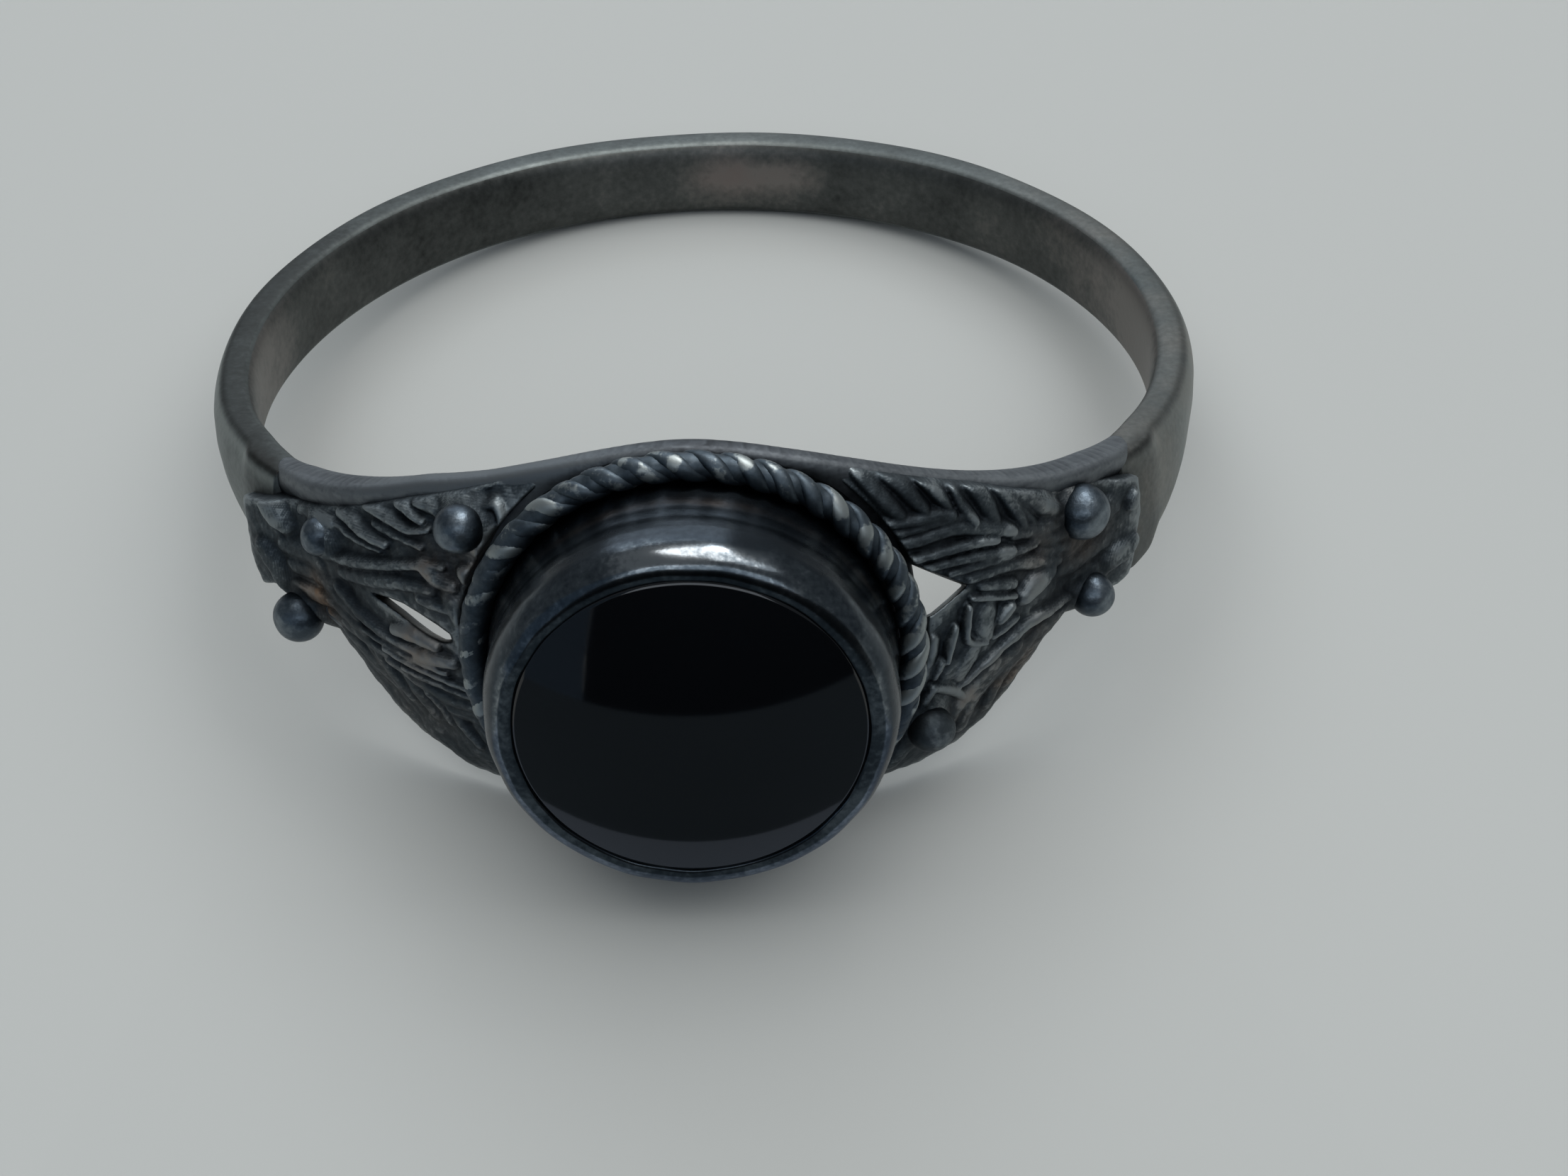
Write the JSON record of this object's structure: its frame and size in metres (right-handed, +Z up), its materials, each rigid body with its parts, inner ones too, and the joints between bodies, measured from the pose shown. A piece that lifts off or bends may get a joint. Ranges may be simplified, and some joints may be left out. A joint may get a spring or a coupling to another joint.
{
  "type": "onyx cabochon ring",
  "caption": "Oxidised silver ring with a low round onyx cabochon in a plain bezel, a twisted wire border and pierced shoulders of feathered leaves with granules.",
  "frame": {"origin": "on the surface that the ring rests on, under the middle of its overall box", "axes": "+Y from the head towards the back of the band, +Z up, +X to the right of the head seen from the front"},
  "size_m": [0.0188, 0.0214, 0.0078],
  "materials": {
    "oxidised_silver": "cast and soldered silver, blackened in the recesses and worn grey on the edges",
    "onyx": "polished opaque black onyx, low dome"
  },
  "bodies": {
    "root": {"silver_ring": "oxidised_silver", "onyx_stone": "onyx"}
  },
  "joints": []
}
